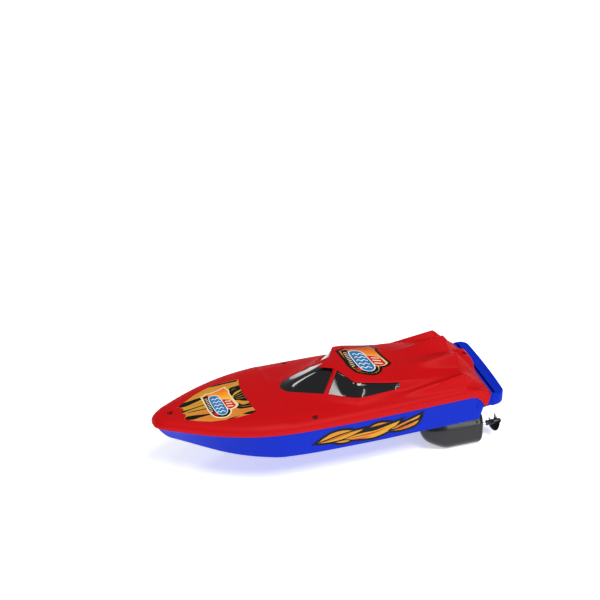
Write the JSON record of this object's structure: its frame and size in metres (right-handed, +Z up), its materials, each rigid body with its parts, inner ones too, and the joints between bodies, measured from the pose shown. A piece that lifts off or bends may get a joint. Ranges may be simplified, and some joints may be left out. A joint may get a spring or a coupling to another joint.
{
  "type": "radio-controlled toy speedboat",
  "caption": "Radio-controlled toy speedboat with a decked V-bottom hull, smoked cabin windows, rear fins and twin electric propeller pods.",
  "frame": {"origin": "middle of the boat's length and width, at the height of the flat bellies of the motor pods, its lowest points", "axes": "+X to the bow, +Y to port, +Z up"},
  "size_m": [0.3082, 0.1, 0.088],
  "materials": {
    "hull_plastic": "satin moulded",
    "deck_plastic": "satin moulded",
    "smoked_window": "high gloss",
    "pod_plastic": "gloss moulded",
    "black_plastic": "satin moulded",
    "printed_decal": "satin printed film",
    "screw_steel": "zinc plated",
    "shaft_steel": "ground",
    "motor_steel": "plated can",
    "bush_brass": "turned",
    "seal_rubber": "matt",
    "battery_wrap": "shrink wrap",
    "lead_insulation": "soft insulation",
    "circuit_board": "solder mask",
    "chip_plastic": "moulded",
    "foam": "expanded foam"
  },
  "bodies": {
    "boat": {"hull": "hull_plastic", "deck": "deck_plastic", "windscreen": "smoked_window", "side_window_port": "smoked_window", "side_window_starboard": "smoked_window", "deck_screws": "screw_steel", "bow_decal": "printed_decal", "roof_decal": "printed_decal", "side_decal_port": "printed_decal", "side_decal_starboard": "printed_decal", "door_gasket": "seal_rubber", "battery_cells": "battery_wrap", "battery_leads": "lead_insulation", "receiver_board": "circuit_board", "receiver_chips": "chip_plastic", "antenna_wire": "lead_insulation", "switch_body": "chip_plastic", "water_sensor_pins": "shaft_steel", "bow_foam": "foam", "pod_housing_port": "pod_plastic", "pod_cap_port": "pod_plastic", "pod_screws_port": "screw_steel", "motor_can_port": "motor_steel", "motor_end_port": "black_plastic", "motor_leads_port": "lead_insulation", "lead_grommet_port": "seal_rubber", "shaft_bush_port": "bush_brass", "shaft_seal_port": "seal_rubber", "pod_housing_starboard": "pod_plastic", "pod_cap_starboard": "pod_plastic", "pod_screws_starboard": "screw_steel", "motor_can_starboard": "motor_steel", "motor_end_starboard": "black_plastic", "motor_leads_starboard": "lead_insulation", "lead_grommet_starboard": "seal_rubber", "shaft_bush_starboard": "bush_brass", "shaft_seal_starboard": "seal_rubber"},
    "propeller_port": {"drive_shaft_port": "shaft_steel", "thrust_washer_port": "black_plastic", "propeller_port": "black_plastic"},
    "propeller_starboard": {"drive_shaft_starboard": "shaft_steel", "thrust_washer_starboard": "black_plastic", "propeller_starboard": "black_plastic"},
    "power_switch": {"switch_knob": "black_plastic"},
    "battery_hatch": {"battery_door": "hull_plastic", "door_screw": "screw_steel"}
  },
  "joints": [
    {"name": "propeller_port_spin", "type": "hinge", "parent": "boat", "child": "propeller_port", "pos_m": [-0.1358, 0.0285, 0.0154], "axis": [1, 0, 0], "continuous": true},
    {"name": "propeller_starboard_spin", "type": "hinge", "parent": "boat", "child": "propeller_starboard", "pos_m": [-0.1358, -0.0285, 0.0154], "axis": [1, 0, 0], "continuous": true},
    {"name": "power_switch_slide", "type": "slide", "parent": "boat", "child": "power_switch", "axis": [-1, 0, 0], "range_m": [0, 0.003]},
    {"name": "battery_door_hinge", "type": "hinge", "parent": "boat", "child": "battery_hatch", "pos_m": [0.0071, 0, 0.0261], "axis": [0, -1, 0], "range_deg": [0, 95]}
  ]
}
